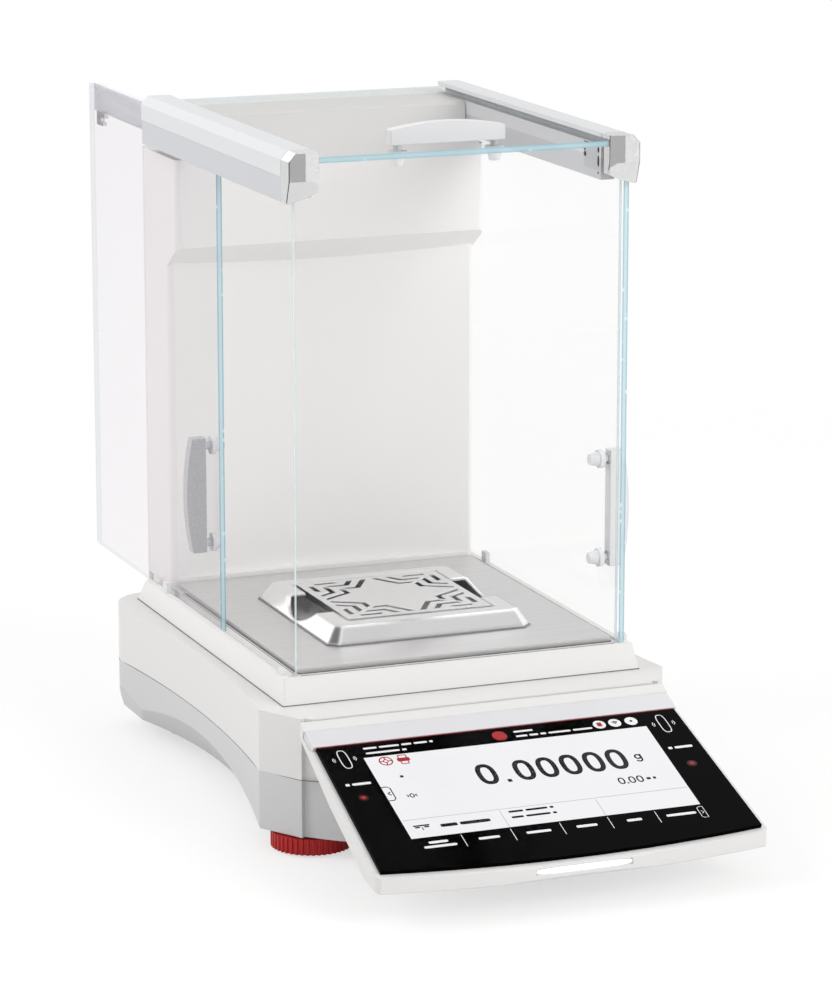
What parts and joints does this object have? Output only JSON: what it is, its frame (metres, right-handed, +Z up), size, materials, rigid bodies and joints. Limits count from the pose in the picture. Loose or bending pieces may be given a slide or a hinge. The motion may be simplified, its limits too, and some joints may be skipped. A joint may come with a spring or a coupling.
{
  "type": "semi-micro balance",
  "caption": "Semi-micro laboratory balance with a glass draft shield, sliding side and top doors, a square slotted pan, a sloping touch display and red levelling wheels.",
  "frame": {"origin": "middle of the outline on the bench surface, with the left door standing open behind", "axes": "+X to the instrument's right as seen from the display, +Y to the rear, +Z up from the bench"},
  "size_m": [0.2226, 0.4774, 0.3593],
  "materials": {
    "shell_white": "satin moulded plastic",
    "shell_light": "satin moulded plastic",
    "shell_grey": "satin moulded plastic",
    "silver_paint": "fine metallic paint",
    "blue_grey": "satin",
    "steel": "brushed",
    "polished_steel": "polished",
    "aluminium": "machined",
    "brass": "turned",
    "black_gloss": "gloss",
    "dark_plastic": "satin",
    "red_plastic": "satin moulded plastic",
    "board_green": "solder mask",
    "glass": "polished float glass",
    "clear_plastic": "clear moulded plastic",
    "rubber": "matt",
    "handle_satin": "satin"
  },
  "bodies": {
    "base": {"lower_housing": "shell_grey", "upper_housing": "shell_light", "deck": "shell_light", "column_housing": "shell_white", "column_back": "shell_white", "column_screws": "steel", "rail_left": "shell_grey", "rail_right": "shell_grey", "rail_cap_left": "silver_paint", "rail_cap_right": "silver_paint", "front_glass": "glass", "door_guides": "dark_plastic", "spigot_seal": "aluminium", "chassis": "aluminium", "weigh_cell": "aluminium", "load_arm": "aluminium", "pan_spigot": "steel", "magnet_pot": "dark_plastic", "cal_motor": "dark_plastic", "main_board": "board_green", "connector_panel": "dark_plastic", "power_inlet": "dark_plastic", "data_ports": "steel", "hook_cover": "dark_plastic", "rear_feet": "rubber", "base_screws": "steel", "terminal_bracket": "shell_grey"},
    "left_door": {"left_door_glass": "glass", "left_door_carrier": "blue_grey", "left_door_catch": "dark_plastic", "left_handle": "handle_satin", "left_handle_studs": "clear_plastic"},
    "right_door": {"right_door_glass": "glass", "right_door_carrier": "blue_grey", "right_door_catch": "dark_plastic", "right_handle": "handle_satin", "right_handle_studs": "clear_plastic"},
    "top_door": {"top_door_glass": "glass", "top_handle": "handle_satin", "top_handle_studs": "clear_plastic"},
    "floor_insert": {"floor_plate": "steel"},
    "ring": {"wind_ring": "polished_steel"},
    "weighing_pan": {"pan": "polished_steel", "pan_hub": "aluminium"},
    "foot_left": {"foot_pad_left": "rubber"},
    "foot_right": {"foot_pad_right": "rubber"},
    "levelling_wheel_left": {"wheel_left": "red_plastic", "foot_stud_left": "steel"},
    "levelling_wheel_right": {"wheel_right": "red_plastic", "foot_stud_right": "steel"},
    "calibration": {"cal_weight": "brass", "cal_lifter": "dark_plastic"},
    "terminal": {"terminal_shell": "shell_light", "terminal_bezel": "blue_grey", "display_glass": "black_gloss", "display_panel": "dark_plastic", "terminal_board": "board_green", "ir_sensors": "red_plastic", "light_bar": "clear_plastic"}
  },
  "joints": [
    {"name": "left_door_slide", "type": "slide", "parent": "base", "child": "left_door", "axis": [0, 1, 0], "range_m": [-0.1065, 0.057]},
    {"name": "right_door_slide", "type": "slide", "parent": "base", "child": "right_door", "axis": [0, 1, 0], "range_m": [0, 0.164]},
    {"name": "top_door_slide", "type": "slide", "parent": "base", "child": "top_door", "axis": [0, 1, 0], "range_m": [0, 0.15]},
    {"name": "floor_plate_lift", "type": "slide", "parent": "base", "child": "floor_insert", "axis": [0, 0, 1], "range_m": [0, 0.03]},
    {"name": "wind_ring_lift", "type": "slide", "parent": "floor_insert", "child": "ring", "axis": [0, 0, 1], "range_m": [0, 0.06]},
    {"name": "pan_lift", "type": "slide", "parent": "floor_insert", "child": "weighing_pan", "axis": [0, 0, 1], "range_m": [0, 0.08]},
    {"name": "foot_left_height", "type": "slide", "parent": "base", "child": "foot_left", "axis": [0, 0, 1], "range_m": [-0.006, 0]},
    {"name": "wheel_left_turn", "type": "hinge", "parent": "foot_left", "child": "levelling_wheel_left", "pos_m": [-0.086, -0.0973, 0.005], "axis": [0, 0, 1], "range_deg": [-1728, 0]},
    {"name": "foot_right_height", "type": "slide", "parent": "base", "child": "foot_right", "axis": [0, 0, 1], "range_m": [-0.006, 0]},
    {"name": "wheel_right_turn", "type": "hinge", "parent": "foot_right", "child": "levelling_wheel_right", "pos_m": [0.086, -0.0973, 0.005], "axis": [0, 0, 1], "range_deg": [-1728, 0]},
    {"name": "cal_weight_lift", "type": "slide", "parent": "base", "child": "calibration", "axis": [0, 0, 1], "range_m": [0, 0.003]},
    {"name": "terminal_lift", "type": "slide", "parent": "base", "child": "terminal", "axis": [0, 0, 1], "range_m": [0, 0.03]}
  ],
  "couplings": [
    {"joint": "wheel_left_turn", "follows": "foot_left_height", "rad_per_m": 5026.5},
    {"joint": "wheel_right_turn", "follows": "foot_right_height", "rad_per_m": 5026.5}
  ]
}
